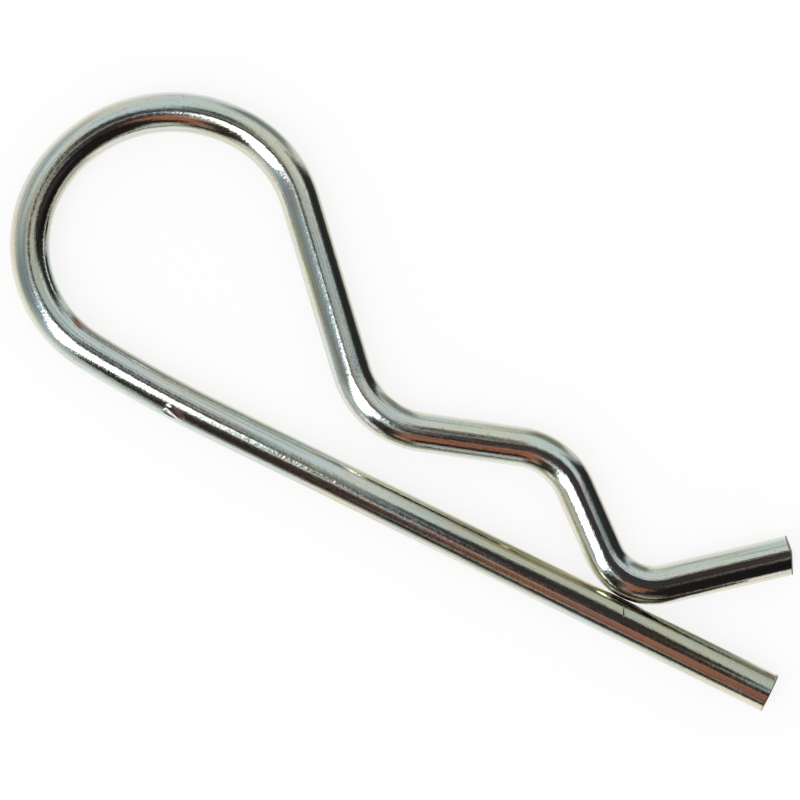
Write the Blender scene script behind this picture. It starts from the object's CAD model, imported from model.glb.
import math

import bpy
import numpy as np
from mathutils import Matrix, Vector, noise


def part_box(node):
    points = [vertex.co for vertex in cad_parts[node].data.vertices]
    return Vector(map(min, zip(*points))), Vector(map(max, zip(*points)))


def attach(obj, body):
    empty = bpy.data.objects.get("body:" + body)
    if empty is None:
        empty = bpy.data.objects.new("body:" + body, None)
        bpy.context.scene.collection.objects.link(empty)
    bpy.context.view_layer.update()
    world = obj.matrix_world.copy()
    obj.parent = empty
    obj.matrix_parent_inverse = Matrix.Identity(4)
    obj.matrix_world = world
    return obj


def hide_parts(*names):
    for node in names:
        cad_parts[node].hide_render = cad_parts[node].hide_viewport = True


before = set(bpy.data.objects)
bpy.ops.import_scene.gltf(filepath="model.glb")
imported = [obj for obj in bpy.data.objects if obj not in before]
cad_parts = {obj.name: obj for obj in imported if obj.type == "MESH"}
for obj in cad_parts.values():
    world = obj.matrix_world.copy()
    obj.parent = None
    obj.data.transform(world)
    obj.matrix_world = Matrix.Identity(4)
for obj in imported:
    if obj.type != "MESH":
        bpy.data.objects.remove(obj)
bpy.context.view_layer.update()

# ---------------------------------------------------------------------------
# Clip wire. One length of drawn spring-steel wire, bent cold in one plane on a wire former and
# sheared to length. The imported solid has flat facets, which a bright plate would show, so a fine
# tube on the same bends stands for it.
# ---------------------------------------------------------------------------
MM = 0.001
low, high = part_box("clip_wire")
wire_r = (high.z - low.z) / 2 / MM

# The former's bend table in mm and degrees: wire fed out, radius of the wire's middle, turn to the
# left. First the leg and the loop.
leg_run = 62.0
lead = (leg_run, 150.0, -5.5)
heel = (0.0, 12.3, -93.0)
crown = (0.0, 14.67, -85.0)
neck = (0.0, 12.0, -43.5)

# The arm's three runs and its tip, as slopes from the leg, and its bends. The rise and the fall touch
# the shaft that the clip locks, whose middle stands that far in from the leg's cut end.
arm_slope, rise_slope = math.radians(-47.0), math.radians(18.0)
fall_slope, tip_slope = math.radians(-40.0), math.radians(39.3)
shaft_r, shaft_in = 9.0, 32.0
shoulder_r, crest_r, pinch_r = 8.6, 7.2, 5.5
tip_run = 13.0


def left_of(heading):
    """The direction to the left of a heading."""
    return np.array([-math.sin(heading), math.cos(heading)])


def crossing(heading_1, offset_1, heading_2, offset_2):
    """Where two lines cross, each given by its heading and its distance to the left of the origin."""
    across = np.array([left_of(heading_1), left_of(heading_2)])
    return np.linalg.solve(across, [offset_1, offset_2])


# Where the neck leaves the wire, with the leg along y = 0 and its cut end at the origin
neck_end, heading = np.array([-leg_run, 0.0]), math.pi
for feed, radius, turn in (lead, heel, crown, neck):
    bend_middle = neck_end - radius * left_of(heading)
    heading += math.radians(turn)
    neck_end = bend_middle + radius * left_of(heading)
# Each bend's middle lies its radius off the two runs that it joins, and the pinch bend rests on the leg
shaft_middle = np.array([-shaft_in, 0.0])
arm_line = neck_end @ left_of(arm_slope)
rise_line = shaft_middle @ left_of(rise_slope) + shaft_r + wire_r
fall_line = shaft_middle @ left_of(fall_slope) + shaft_r + wire_r
shoulder_middle = crossing(arm_slope, arm_line + shoulder_r, rise_slope, rise_line + shoulder_r)
crest_middle = crossing(rise_slope, rise_line - crest_r, fall_slope, fall_line - crest_r)
pinch_middle = crossing(fall_slope, fall_line + pinch_r, 0.0, 2 * wire_r + pinch_r)
arm_run = np.linalg.norm(shoulder_middle - shoulder_r * left_of(arm_slope) - neck_end)
rise_run = np.linalg.norm(crest_middle + crest_r * left_of(rise_slope)
                          - shoulder_middle + shoulder_r * left_of(rise_slope))
fall_run = np.linalg.norm(pinch_middle - pinch_r * left_of(fall_slope)
                          - crest_middle - crest_r * left_of(fall_slope))
shoulder = (arm_run, shoulder_r, math.degrees(rise_slope - arm_slope))
crest = (rise_run, crest_r, math.degrees(fall_slope - rise_slope))
pinch = (fall_run, pinch_r, math.degrees(tip_slope - fall_slope))
free_tip = (tip_run, 0.0, 0.0)
bend_table = (lead, heel, crown, neck, shoulder, crest, pinch, free_tip)
wire_length = sum(feed + radius * math.radians(abs(turn)) for feed, radius, turn in bend_table)
leg_end = Vector((high.x / MM, low.y / MM + wire_r, wire_r))


def middle_at(along):
    """The wire's middle in mm, that far along from the leg's cut end, and the way it runs there."""
    rest = np.array(along, float)
    x = np.full_like(rest, leg_end.x)
    y = np.full_like(rest, leg_end.y)
    heading = np.full_like(rest, math.pi)
    for feed, radius, turn in bend_table:
        step = np.minimum(rest, feed)
        x += step * np.cos(heading)
        y += step * np.sin(heading)
        rest -= step
        if radius:
            angle = np.minimum(rest / radius, math.radians(abs(turn)))
            chord = 2 * radius * np.sin(angle / 2)
            halfway = heading + np.copysign(angle / 2, turn)
            x += chord * np.cos(halfway)
            y += chord * np.sin(halfway)
            heading += np.copysign(angle, turn)
            rest -= angle * radius
    return x, y, heading


# Each end is sheared to two shallow faces that meet in a ridge. Slopes from square in degrees: on the
# upper side as the clip is seen, and on the lower side. The blade also leaves the face leaning back at
# the top, and rolls its corner over, in mm. The leg's corner is rolled most on the side of the arm.
leg_slopes, tip_slopes = (0.8, 0.4), (8.0, 11.0)
ridge_shift = 0.3
leg_lean, tip_lean = 0.26, 0.34
leg_corner_least, leg_corner_most, tip_corner = 0.08, 0.16, 0.08
# Length of wire over which the rings lean over to follow the cut
cut_blend = 3.0

# Rings round the wire, closer together at the ends and round the nick that the former's jaw left
around = 144
ring_gap, end_gap, nick_gap = 0.42, 0.12, 0.05
nick_place, nick_reach = 65.9, 1.6
face_steps = 12
corner_steps = 5

rings = [0.0]
while rings[-1] < wire_length:
    if min(rings[-1], wire_length - rings[-1]) < cut_blend:
        rings.append(rings[-1] + end_gap)
    elif abs(rings[-1] - nick_place) < nick_reach:
        rings.append(rings[-1] + nick_gap)
    else:
        rings.append(rings[-1] + ring_gap)
rings[-1] = wire_length

# The rings of the tube as arrays: one row a ring, one column a place round it. "along" is how far
# along the wire and "inset" how far in from its surface. The rows run over the leg's cut face, round
# its corner, down the wire, and then round the tip's corner and over its face.
turns = np.linspace(0, 2 * math.pi, around, endpoint=False)
toward_arm = np.clip(-np.cos(turns), 0, 1) ** 2
leg_round = leg_corner_least + (leg_corner_most - leg_corner_least) * toward_arm
tip_round = np.full(around, tip_corner)
along, inset = [], []
for k in range(1, face_steps):
    along.append(np.zeros(around))
    inset.append(wire_r - (wire_r - leg_round) * k / face_steps)
for k in range(corner_steps):
    rolled = math.pi / 2 * k / corner_steps
    along.append(leg_round * (1 - math.cos(rolled)))
    inset.append(leg_round * (1 - math.sin(rolled)))
for ring in rings:
    along.append(np.clip(ring, leg_round, wire_length - tip_round))
    inset.append(np.zeros(around))
for k in reversed(range(corner_steps)):
    rolled = math.pi / 2 * k / corner_steps
    along.append(wire_length - tip_round * (1 - math.cos(rolled)))
    inset.append(tip_round * (1 - math.sin(rolled)))
for k in reversed(range(1, face_steps)):
    along.append(np.full(around, wire_length))
    inset.append(wire_r - (wire_r - tip_round) * k / face_steps)
along, inset = np.array(along), np.array(inset)
left = (wire_r - inset) * np.cos(turns)
up = (wire_r - inset) * np.sin(turns)


def set_back(sideways, up, slopes, lean):
    """How far the sheared face lies behind the end's foremost point, at a place of the section."""
    upper, lower = (math.tan(math.radians(slope)) for slope in slopes)
    ridge = np.maximum((sideways - ridge_shift) * upper, (ridge_shift - sideways) * lower)
    return ridge + lean * np.maximum(up, 0) / wire_r


behind_cut = np.minimum(along, wire_length - along)
near_leg_end = np.clip(1 - along / cut_blend, 0, 1)
near_tip_end = np.clip(1 - (wire_length - along) / cut_blend, 0, 1)
along = (along + near_leg_end * set_back(-left, up, leg_slopes, leg_lean)
         - near_tip_end * set_back(left, up, tip_slopes, tip_lean))

# What the tools and the years left on the wire. Each mark has a place along the wire, a turn round it
# from its left side over the top, a length and a width, a slant of its length toward larger turns, and
# a height, below zero for a dent. Then a colour, the share of it that shows, and how matt it is: bare
# torn zinc and grime are matt, and a stain lies in the bright film. In mm and degrees.
marks = (
    ("leg_film", 17.0, 121, 48.0, 2.60, 0, 0, "#c2bc98", 0.50, 0.0),
    ("leg_tarnish", 23.0, 142, 32.0, 0.90, 0, 0, "#8c8057", 0.50, 0.0),
    ("leg_tarnish_tail", 31.0, 131, 12.0, 0.60, 0, 0, "#a08f52", 0.45, 0.0),
    ("leg_end_tarnish", 10.0, 160, 13.0, 0.70, 0, 0, "#5c5239", 0.80, 0.2),
    ("leg_end_orange", 1.1, 150, 1.3, 0.40, 0, 0, "#cf8444", 0.60, 0.0),
    ("leg_end_burr", 0.25, 163, 0.40, 0.45, 0, 0.05, "#d8d6cc", 0.80, 0.7),
    ("hairline", 16.90, 115, 0.17, 0.95, -24, -0.02, "#1c1a16", 0.95, 0.6),
    ("hairline_fork", 16.92, 131, 0.30, 0.10, -35, -0.02, "#1c1a16", 0.90, 0.6),
    ("leg_rub", 17.1, 172, 3.6, 1.20, 0, 0, "#12100d", 0.97, 0.5),
    ("arm_rub", 183.3, 160, 2.8, 1.10, 0, 0, "#12100d", 0.97, 0.5),
    ("pinch_olive", 185.1, 122, 2.2, 0.35, 0, 0, "#6f6838", 0.60, 0.2),
    ("nick_bed", 65.75, 56, 2.30, 0.75, 8, -0.06, "#38261b", 0.90, 0.3),
    ("nick_rust", 65.40, 60, 1.30, 0.60, 8, 0, "#8c5a40", 0.60, 0.2),
    ("nick_facet", 66.54, 67, 0.56, 0.28, 0, 0.04, "#ffffff", 0.98, 1.0),
    ("nick_shade", 66.20, 37, 1.50, 0.34, 5, 0, "#26301e", 1.00, 0.6),
    ("nick_curl", 66.74, 51, 0.46, 0.18, -60, 0.07, "#fffaf2", 0.98, 1.0),
    ("nick_ridge", 66.24, 49, 0.98, 0.21, 33, 0.07, "#fffaf2", 0.98, 1.0),
    ("nick_sliver", 65.50, 44, 1.40, 0.13, 24, 0.05, "#fff4ea", 0.98, 1.0),
    ("heel_stain", 79.0, 139, 1.9, 0.70, 14, 0, "#bf7a38", 0.75, 0.0),
    ("heel_scrape", 77.6, 64, 2.10, 0.12, -11, -0.02, "#6d7478", 0.80, 0.2),
    ("shoulder_scuff", 149.9, 33, 3.0, 0.80, -12, 0, "#8a7650", 0.60, 0.3),
    ("shoulder_burr", 148.05, 2, 0.22, 0.20, 0, 0.10, "#3c3a32", 0.80, 0.5),
)


def as_mark(along, turned, place, turn, length, width, slant):
    """Places on the wire as a mark sees them: 0 at its middle and 1 at its edge."""
    slant = math.radians(slant)
    past, round_it = along - place, wire_r * (turned - math.radians(turn))
    lengthwise = past * math.cos(slant) + round_it * math.sin(slant)
    across = round_it * math.cos(slant) - past * math.sin(slant)
    return np.sqrt((lengthwise * 2 / length) ** 2 + (across * 2 / width) ** 2)


# Drawn wire isn't quite round: shallow waves a few mm long, all of them below the true round
wave_length, wave_depth = 2.6, 0.012
wave_mean, wave_swing = 0.6, 0.5
straight = np.stack([along, left, up], -1)
waves = np.array([noise.noise(Vector(place) / wave_length) for place in straight.reshape(-1, 3)])
swell = -wave_depth * (wave_mean + wave_swing * waves.reshape(along.shape))
for name, place, turn, length, width, slant, height, mark_colour, share, matt in marks:
    reach = as_mark(along, turns, place, turn, length, width, slant)
    swell += height * np.clip(1 - reach ** 2, 0, 1) ** 2

x, y, heading = middle_at(along)
out = 1 + swell / wire_r
places = np.stack([x - left * out * np.sin(heading), y + left * out * np.cos(heading),
                   leg_end.z + up * out], -1).reshape(-1, 3)
straight = straight.reshape(-1, 3)
first_middle = len(places)
places = np.vstack([places, places[:around].mean(0), places[-around:].mean(0)])
straight = np.vstack([straight, straight[:around].mean(0), straight[-around:].mean(0)])
behind_cut = np.append(behind_cut, (0, 0))

faces = []
for k in range(len(along) - 1):
    for j in range(around):
        following = (j + 1) % around
        faces.append((k * around + j, k * around + following,
                      (k + 1) * around + following, (k + 1) * around + j))
last_ring = (len(along) - 1) * around
for j in range(around):
    following = (j + 1) % around
    faces.append((first_middle, following, j))
    faces.append((first_middle + 1, last_ring + j, last_ring + following))

mesh = bpy.data.meshes.new("zinc_plated_wire")
mesh.from_pydata([tuple(place * MM) for place in places], [], faces)
mesh.shade_smooth()
wire = bpy.data.objects.new("zinc_plated_wire", mesh)
bpy.context.scene.collection.objects.link(wire)
# Each point's place on the straight wire, for the plate's patterns, and its distance from a cut
straight_wire = mesh.attributes.new("straight_wire", "FLOAT_VECTOR", "POINT")
straight_wire.data.foreach_set("vector", straight.astype(np.float32).ravel())
past_cut = mesh.attributes.new("behind_cut", "FLOAT", "POINT")
past_cut.data.foreach_set("value", behind_cut.astype(np.float32))

# ---------------------------------------------------------------------------
# Zinc plate. Bright zinc from a plating bath over the drawn steel, dipped in a clear blue passivation
# that dries to faint film colours. The grain, the dents and the lines of the drawing die show
# through, and the sheared ends are plated thin and dull.
# ---------------------------------------------------------------------------


def linear(hex_colour):
    """An sRGB hex colour as the linear RGBA that Blender works in."""
    parts = [int(hex_colour[i:i + 2], 16) / 255 for i in (1, 3, 5)]
    return (*(c / 12.92 if c <= 0.04045 else ((c + 0.055) / 1.055) ** 2.4 for c in parts), 1.0)


def bare(block):
    """A new material or world with no nodes in it."""
    block.use_nodes = True
    block.node_tree.nodes.clear()
    return block


def add(material, kind, inputs=None, **settings):
    """Adds a shader node. An input is a plain value, or the output of an earlier node to link to."""
    made = material.node_tree.nodes.new("ShaderNode" + kind)
    for name, value in settings.items():
        setattr(made, name, value)
    for name, value in (inputs or {}).items():
        if isinstance(value, bpy.types.NodeSocket):
            material.node_tree.links.new(value, made.inputs[name])
        else:
            made.inputs[name].default_value = value
    return made


zinc = bare(bpy.data.materials.new("zinc_plate"))
on_wire = add(zinc, "Attribute", attribute_name="straight_wire").outputs["Vector"]

# Plating grain, about 0.16 mm across, over dents of the drawn surface, about 0.4 mm across. Both are
# a little longer than wide.
grain_size, dent_size, grain_stretch = 0.16, 0.40, 0.6
grain_place = add(zinc, "VectorMath", {0: on_wire, 1: (grain_stretch, 1, 1)},
                  operation="MULTIPLY").outputs[0]
grain = add(zinc, "TexNoise", {"Vector": grain_place, "Scale": 1 / grain_size, "Detail": 2.0,
                               "Roughness": 0.6}).outputs["Fac"]
dents = add(zinc, "TexNoise", {"Vector": grain_place, "Scale": 1 / dent_size, "Detail": 1.0,
                               "Roughness": 0.5}).outputs["Fac"]
# Lines that the drawing die left along the wire, about 0.25 mm apart and some 15 mm long
line_gap, line_stretch = 0.25, 0.015
line_place = add(zinc, "VectorMath", {0: on_wire, 1: (line_stretch, 1, 1)},
                 operation="MULTIPLY").outputs[0]
lines = add(zinc, "TexNoise", {"Vector": line_place, "Scale": 1 / line_gap, "Detail": 3.0,
                               "Roughness": 0.6}).outputs["Fac"]
# The passivation's faint colours, in streaks about 2 mm wide, with a blush that changes every mm or so
film_width, blush_width, film_stretch = 1.7, 0.9, 0.12
film_place = add(zinc, "VectorMath", {0: on_wire, 1: (film_stretch, 1, 1)},
                 operation="MULTIPLY").outputs[0]
film = add(zinc, "TexNoise", {"Vector": film_place, "Scale": 1 / film_width, "Detail": 3.0,
                              "Roughness": 0.55}).outputs["Fac"]
blush = add(zinc, "TexNoise", {"Vector": film_place, "Scale": 1 / blush_width, "Detail": 2.0,
                               "Roughness": 0.7, "Distortion": 0.6}).outputs["Fac"]

# Over the bluish plate, each colour comes in with its pattern: where it starts, where it is full, the
# share of it there, and the colour
tints = (
    ("straw", film, 0.38, 0.62, 1.00, "#f0ebd8", "SMOOTHSTEP"),
    ("pink_blush", blush, 0.55, 0.75, 0.75, "#f2cfc6", "LINEAR"),
    ("green_blush", blush, 0.45, 0.25, 0.75, "#cfe2cd", "LINEAR"),
    ("die_lines", lines, 0.50, 0.30, 0.80, "#b4b2a6", "LINEAR"),
    ("grain_specks", grain, 0.60, 0.72, 0.50, "#8f8578", "LINEAR"),
)
colour = linear("#e0eaec")
for name, pattern, start, full, share, tint, easing in tints:
    cover = add(zinc, "MapRange", {"Value": pattern, 1: start, 2: full, 3: 0.0, 4: share},
                interpolation_type=easing).outputs[0]
    colour = add(zinc, "Mix", {0: cover, 6: colour, 7: linear(tint)}, data_type="RGBA").outputs[2]
# The grain makes the plate's roughness vary a little from spot to spot
grain_low, grain_high, least_rough, most_rough = 0.3, 0.7, 0.07, 0.17
rough = add(zinc, "MapRange", {"Value": grain, 1: grain_low, 2: grain_high,
                               3: least_rough, 4: most_rough}).outputs[0]
bright = 1.0

# The sheared ends, where the blade smeared and tore the steel: the plating on them is thin, dull and
# dark, as far as a ragged line some 0.1 mm past the cut's edge
cut_ragged, cut_solid_to, cut_gone_by, cut_share, cut_rough = 0.20, 0.12, 0.26, 0.9, 0.42
cut = add(zinc, "Attribute", attribute_name="behind_cut").outputs["Fac"]
cut_edge = add(zinc, "Math", {0: grain, 1: cut_ragged, 2: cut}, operation="MULTIPLY_ADD").outputs[0]
cover = add(zinc, "MapRange", {"Value": cut_edge, 1: cut_solid_to, 2: cut_gone_by,
                               3: cut_share, 4: 0.0}).outputs[0]
torn = add(zinc, "Mix", {0: dents, 6: linear("#1f1a11"), 7: linear("#5f573f")},
           data_type="RGBA").outputs[2]
colour = add(zinc, "Mix", {0: cover, 6: colour, 7: torn}, data_type="RGBA").outputs[2]
rough = add(zinc, "Mix", {0: cover, 2: rough, 3: cut_rough}).outputs[0]

# Each coloured mark is a patch with a ragged edge, seen in mm along the wire and round it. A matt mark
# is less of a mirror, and rougher.
ragged, solid_to, gone_by = 0.5, 0.7, 1.2
mark_rough, matt_rough = 0.1, 0.5
axes = add(zinc, "SeparateXYZ", {0: on_wire}).outputs
turn_there = add(zinc, "Math", {0: axes[2], 1: axes[1]}, operation="ARCTAN2").outputs[0]
round_there = add(zinc, "Math", {0: turn_there, 1: wire_r}, operation="MULTIPLY").outputs[0]
unrolled = add(zinc, "CombineXYZ", {0: axes[0], 1: round_there}).outputs[0]
for name, place, turn, length, width, slant, height, mark_colour, share, matt in marks:
    patch = add(zinc, "Mapping", {"Vector": unrolled,
                                  "Location": (place, wire_r * math.radians(turn), 0),
                                  "Rotation": (0, 0, math.radians(slant)),
                                  "Scale": (length / 2, width / 2, 1)}, vector_type="TEXTURE").outputs[0]
    reach = add(zinc, "VectorMath", {0: patch}, operation="LENGTH").outputs["Value"]
    edge = add(zinc, "Math", {0: grain, 1: 2 * ragged, 2: reach}, operation="MULTIPLY_ADD").outputs[0]
    cover = add(zinc, "MapRange", {"Value": edge, 1: solid_to + ragged, 2: gone_by + ragged,
                                   3: share, 4: 0.0}).outputs[0]
    colour = add(zinc, "Mix", {0: cover, 6: colour, 7: linear(mark_colour)},
                 data_type="RGBA").outputs[2]
    if matt:
        bright = add(zinc, "Mix", {0: cover, 2: bright, 3: 1 - matt}).outputs[0]
        rough = add(zinc, "Mix", {0: cover, 2: rough, 3: mark_rough + matt_rough * matt}).outputs[0]

# How deep the finest patterns go, in mm
line_depth, dent_depth, grain_depth = 0.009, 0.007, 0.008
line_bump = add(zinc, "Bump", {"Strength": 1.0, "Distance": line_depth * MM,
                               "Height": lines}).outputs[0]
dent_bump = add(zinc, "Bump", {"Strength": 1.0, "Distance": dent_depth * MM, "Height": dents,
                               "Normal": line_bump}).outputs[0]
grain_bump = add(zinc, "Bump", {"Strength": 1.0, "Distance": grain_depth * MM, "Height": grain,
                                "Normal": dent_bump}).outputs[0]
plate = add(zinc, "BsdfPrincipled", {"Base Color": colour, "Metallic": bright, "Roughness": rough,
                                     "Normal": grain_bump}).outputs[0]
add(zinc, "OutputMaterial", {"Surface": plate})
mesh.materials.append(zinc)

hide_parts("clip_wire")
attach(wire, "root")

# ---------------------------------------------------------------------------
# Floor. A plain white table. Seen directly it is mostly its own white, so that the clip's soft shadow
# stays faint, and the plate mirrors the light tent in place of it.
# ---------------------------------------------------------------------------
floor_size = 6.0
floor_drop = 0.02 * MM
floor_white = 0.80


def seen_share(block):
    """1 for rays from the camera and for what a mirror or glass shows, 0 for the rays that light things."""
    ray = add(block, "LightPath").outputs
    seen = add(block, "Math", {0: ray["Is Camera Ray"], 1: ray["Is Glossy Ray"]},
               operation="MAXIMUM").outputs[0]
    return add(block, "Math", {0: seen, 1: ray["Is Transmission Ray"]}, operation="MAXIMUM").outputs[0]


def sheet(name, width, depth, material):
    """A level sheet, whose edges lie at -1 and 1 of its own measure."""
    sheet_mesh = bpy.data.meshes.new(name)
    sheet_mesh.from_pydata([(-1, -1, 0), (1, -1, 0), (1, 1, 0), (-1, 1, 0)], [], [(0, 1, 2, 3)])
    sheet_mesh.materials.append(material)
    made = bpy.data.objects.new(name, sheet_mesh)
    made.scale = (width / 2, depth / 2, 1)
    bpy.context.scene.collection.objects.link(made)
    return made


white = bare(bpy.data.materials.new("white_table"))
glow_share = add(white, "Math", {0: seen_share(white), 1: floor_white}, operation="MULTIPLY").outputs[0]
lit_white = add(white, "BsdfDiffuse", {"Color": linear("#fafaf8")}).outputs[0]
own_white = add(white, "Emission", {"Color": linear("#ffffff"), "Strength": 1.0}).outputs[0]
table = add(white, "MixShader", {0: glow_share, 1: lit_white, 2: own_white}).outputs[0]
add(white, "OutputMaterial", {"Surface": table})
floor = sheet("floor", floor_size, floor_size, white)
floor.location.z = low.z - floor_drop
floor.visible_glossy = False

# ---------------------------------------------------------------------------
# Camera. It looks straight down on the clip, turned so that the leg runs down to the right. The view's
# middle and its width at the wire are in the frame's own measure.
# ---------------------------------------------------------------------------
view_turn = math.radians(26.213)
view_centre = Vector((-1.434, -3.673)) * MM
view_width, view_height = 80 * MM, 320 * MM
camera = bpy.data.cameras.new("camera")
camera.sensor_width = 36.0
camera.lens = camera.sensor_width * view_height / view_width
camera.clip_start, camera.clip_end = 0.01, 20.0
eye = bpy.data.objects.new("camera", camera)
eye.location = (view_centre.x, view_centre.y, wire_r * MM + view_height)
eye.rotation_euler = (0, 0, view_turn)
bpy.context.scene.collection.objects.link(eye)
bpy.context.scene.camera = eye

# ---------------------------------------------------------------------------
# Light tent. A globe of pale cloth round the clip, which the bright plate mirrors, with darker cloths
# hung in it. Each is placed as seen from the clip: azimuth from the view's right, degrees from the
# zenith, width across, height away from the zenith, turn of the cloth from that way, soft edge, and
# colour. A later cloth hangs in front of an earlier one.
# ---------------------------------------------------------------------------
tent_radius = 1.0
tent_cloth = "#b4bcba"
tent_panels = (
    ("far_cloth", 72, 80, 140, 120, 18, 12, "#ced5d2"),
    ("far_foot", 60, 110, 50, 60, 0, 20, "#80847e"),
    ("left_grey", 192, 57, 30, 68, 0, 20, "#868e8c"),
    ("top_shade", 128, 14, 11, 27, 0, 6, "#38322d"),
    ("rise_shade", 86, 23, 12, 18, 0, 6, "#3e3838"),
    ("zenith_shade", 270, 13, 20, 20, 0, 5, "#2c2624"),
    ("dark_low", 333, 57, 125, 69, -25, 12, "#1d1a1a"),
    ("dark_side", 22, 89, 50, 64, 0, 15, "#2d2e2c"),
    ("beyond_lamp", 238, 53, 22, 40, -10, 5, "#2b2625"),
    ("copper_cloth", 258, 45, 14, 45, -10, 6, "#9a6651"),
    ("brown_strip", 247, 82, 32, 26, 0, 10, "#241509"),
    ("black_strip", 264, 60, 16, 16, 0, 5, "#1e140e"),
    ("pink_cloth", 280, 106, 96, 44, 0, 8, "#f4e9df"),
)
# Below the cloth's hem is the white table. The hem's middle height in degrees from the zenith, how
# much lower it hangs toward its low side, the low side's azimuth, and the soft edge
hem_zenith, hem_swing, hem_low_side, hem_soft = 116, 22, 10, 55
table_white = "#faf9f4"
globe_steps, globe_rows = 240, 120


def hung(cloth, cover, hex_colour):
    """The cloth with another colour in front of it, where cover runs from 0 to 1 with a soft edge."""
    cover = np.clip(cover, 0, 1)
    cover = (cover * cover * (3 - 2 * cover))[..., None]
    return cloth + (np.array(linear(hex_colour)) - cloth) * cover


def way_to(azimuth, zenith):
    """The way from the clip to a place on the tent, given in degrees."""
    turn, lean = np.radians(azimuth) + view_turn, np.radians(zenith)
    return np.stack([np.sin(lean) * np.cos(turn), np.sin(lean) * np.sin(turn), np.cos(lean)], -1)


def only_mirrored(thing):
    """Puts up a thing that nothing but the plate's mirror shows."""
    thing.visible_camera = False
    thing.visible_diffuse = False
    thing.visible_shadow = False


# The tent's cloths as a flat map: the zenith in the middle, and degrees from it as the radius
zenith, azimuth = np.meshgrid(np.linspace(0, 180, globe_rows + 1),
                              np.linspace(0, 360, globe_steps, endpoint=False), indexing="ij")
across_map = zenith * np.cos(np.radians(azimuth))
up_map = zenith * np.sin(np.radians(azimuth))
cloth_colours = np.zeros(zenith.shape + (4,)) + linear(tent_cloth)
for name, panel_azimuth, panel_zenith, width, height, turn, soft, panel_colour in tent_panels:
    way = math.radians(panel_azimuth)
    from_x = across_map - panel_zenith * math.cos(way)
    from_y = up_map - panel_zenith * math.sin(way)
    way += math.radians(turn)
    away = np.abs(from_x * math.cos(way) + from_y * math.sin(way))
    beside = np.abs(from_y * math.cos(way) - from_x * math.sin(way))
    cover = np.minimum(height / 2 - away, width / 2 - beside) / soft + 0.5
    cloth_colours = hung(cloth_colours, cover, panel_colour)
hem = hem_zenith + hem_swing * np.cos(np.radians(azimuth - hem_low_side))
cloth_colours = hung(cloth_colours, (zenith - hem) / hem_soft + 0.5, table_white)

globe_points = tent_radius * way_to(azimuth, zenith).reshape(-1, 3)
globe_faces = []
for row in range(globe_rows):
    for step in range(globe_steps):
        following = (step + 1) % globe_steps
        globe_faces.append((row * globe_steps + step, (row + 1) * globe_steps + step,
                            (row + 1) * globe_steps + following, row * globe_steps + following))
cloth = bare(bpy.data.materials.new("tent_cloth"))
dyed = add(cloth, "Attribute", attribute_name="cloth_colour").outputs["Color"]
glowing = add(cloth, "Emission", {"Color": dyed, "Strength": 1.0}).outputs[0]
add(cloth, "OutputMaterial", {"Surface": glowing})
tent_mesh = bpy.data.meshes.new("light_tent")
tent_mesh.from_pydata([tuple(point) for point in globe_points], [], globe_faces)
cloth_colour = tent_mesh.attributes.new("cloth_colour", "FLOAT_COLOR", "POINT")
cloth_colour.data.foreach_set("color", cloth_colours.astype(np.float32).ravel())
tent_mesh.materials.append(cloth)
tent = bpy.data.objects.new("light_tent", tent_mesh)
bpy.context.scene.collection.objects.link(tent)
only_mirrored(tent)

# ---------------------------------------------------------------------------
# Softbox. One long oval lamp at the view's lower left, just inside the tent, which gives the wire its
# white highlight and the clip its soft shadow. Its place is as for a cloth, its sizes are in metres.
# ---------------------------------------------------------------------------
softbox_azimuth, softbox_zenith, softbox_tilt = 216, 34, 4
softbox_distance, softbox_width, softbox_length = 0.9, 0.21, 0.88
softbox_radiance = 3.2
softbox = bpy.data.lights.new("softbox", "AREA")
softbox.shape = "ELLIPSE"
softbox.size, softbox.size_y = softbox_width, softbox_length
softbox.color = linear("#eef5ff")[:3]
softbox.energy = softbox_radiance * math.pi * softbox_width * softbox_length
lamp = bpy.data.objects.new("softbox", softbox)
lamp.location = Vector(way_to(softbox_azimuth, softbox_zenith)) * softbox_distance
lamp_turn = math.radians(softbox_azimuth) + view_turn + math.pi / 2
lamp.rotation_euler = (Matrix.Rotation(lamp_turn, 3, "Z")
                       @ Matrix.Rotation(math.radians(softbox_zenith), 3, "X")
                       @ Matrix.Rotation(math.radians(softbox_tilt), 3, "Z")).to_euler()
lamp.visible_camera = False
bpy.context.scene.collection.objects.link(lamp)

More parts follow.
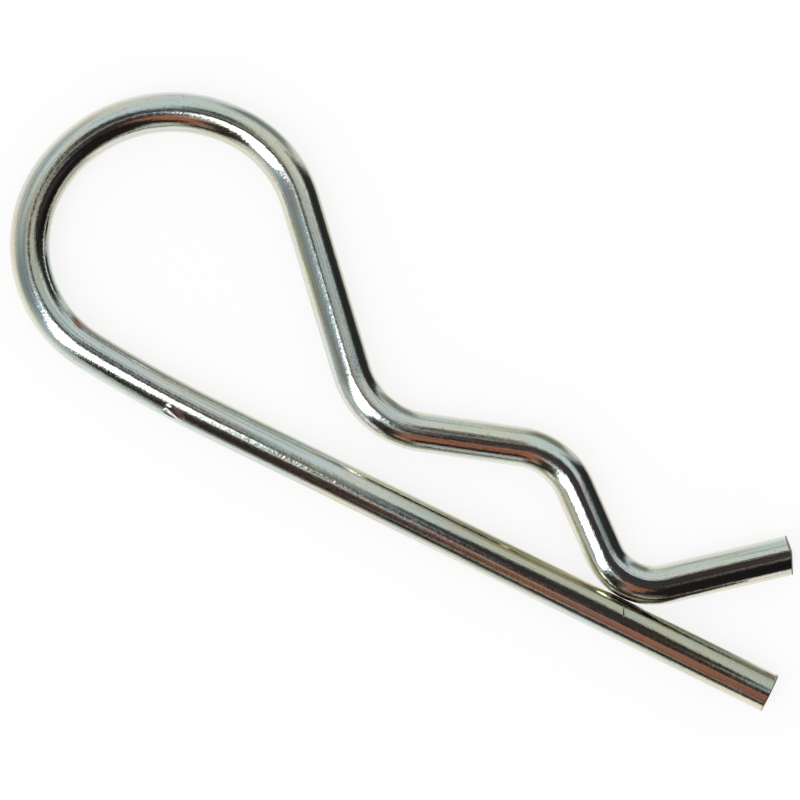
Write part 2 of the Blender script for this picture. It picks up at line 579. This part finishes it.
# ---------------------------------------------------------------------------
# Near card. A dark card low over the clip's right half, which the camera doesn't see and the plate
# mirrors. Its place from the view's middle, its width, depth and height over the table are in mm.
# ---------------------------------------------------------------------------
card_place, card_width, card_depth, card_height = (30, -8), 56, 48, 65
card_turn = math.radians(20)
# Its edge fades out over this share of its half, and its corners are rounded by this share
card_soft, card_rounding = 0.30, 0.4
card_paint = bare(bpy.data.materials.new("near_card"))
own_place = add(card_paint, "TexCoord").outputs["Object"]
from_middle = add(card_paint, "VectorMath", {0: own_place}, operation="ABSOLUTE").outputs[0]
from_middle = add(card_paint, "SeparateXYZ", {0: from_middle}).outputs
furthest = add(card_paint, "Math", {0: from_middle[0], 1: from_middle[1], 2: card_rounding},
               operation="SMOOTH_MAX").outputs[0]
cover = add(card_paint, "MapRange", {"Value": furthest, 1: 1 - card_soft, 2: 1.0, 3: 1.0, 4: 0.0},
            interpolation_type="SMOOTHSTEP").outputs[0]
clear = add(card_paint, "BsdfTransparent").outputs[0]
dark = add(card_paint, "Emission", {"Color": linear("#3c3436"), "Strength": 1.0}).outputs[0]
faded = add(card_paint, "MixShader", {0: cover, 1: clear, 2: dark}).outputs[0]
add(card_paint, "OutputMaterial", {"Surface": faded})
card = sheet("near_card", card_width * MM, card_depth * MM, card_paint)
card_offset = Vector(card_place) * MM
card_offset.rotate(Matrix.Rotation(view_turn, 2))
card.location = (view_centre.x + card_offset.x, view_centre.y + card_offset.y, card_height * MM)
card.rotation_euler = (0, 0, view_turn + card_turn)
only_mirrored(card)

# ---------------------------------------------------------------------------
# Surroundings. Plain white, which light the matt surfaces evenly, and a little brighter where they
# are seen.
# ---------------------------------------------------------------------------
light_level, seen_level = 0.88, 1.0
world = bare(bpy.data.worlds.new("studio"))
level = add(world, "MapRange", {"Value": seen_share(world), 3: light_level, 4: seen_level}).outputs[0]
sky = add(world, "Background", {"Color": linear("#ffffff"), "Strength": level}).outputs[0]
add(world, "OutputWorld", {"Surface": sky})
bpy.context.scene.world = world
bpy.context.scene.view_settings.view_transform = "Standard"
